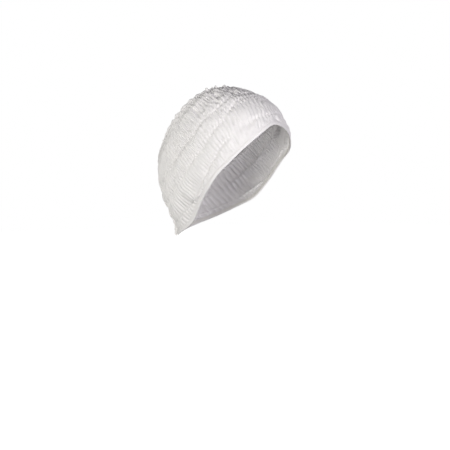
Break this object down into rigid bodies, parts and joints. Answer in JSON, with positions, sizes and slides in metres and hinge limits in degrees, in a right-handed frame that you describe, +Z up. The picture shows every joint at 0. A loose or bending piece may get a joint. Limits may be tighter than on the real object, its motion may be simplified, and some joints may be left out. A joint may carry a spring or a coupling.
{
  "type": "disposable headband",
  "caption": "Wide pleated nonwoven headband, an open ring in its worn form, with a taut face hem, a frilled crown hem and lengthwise folds.",
  "frame": {"origin": "middle of the wearer's head, inside the ring, level with the temples", "axes": "+Z up along the wearer's upright head, the wearer faces -Y, +X to the wearer's left"},
  "size_m": [0.1663, 0.2021, 0.2078],
  "materials": {
    "nonwoven": "white spunbond nonwoven, finely gathered, matt with a faint sheen",
    "hem_cloth": "white spunbond nonwoven, folded and drawn smooth",
    "elastic_tape": "off-white braided elastic, ribbed along its length"
  },
  "bodies": {
    "root": {"cloth_band": "nonwoven", "front_hem": "hem_cloth", "back_hem": "nonwoven", "front_elastic": "elastic_tape", "back_elastic": "elastic_tape", "joining_seam": "hem_cloth"}
  },
  "joints": []
}
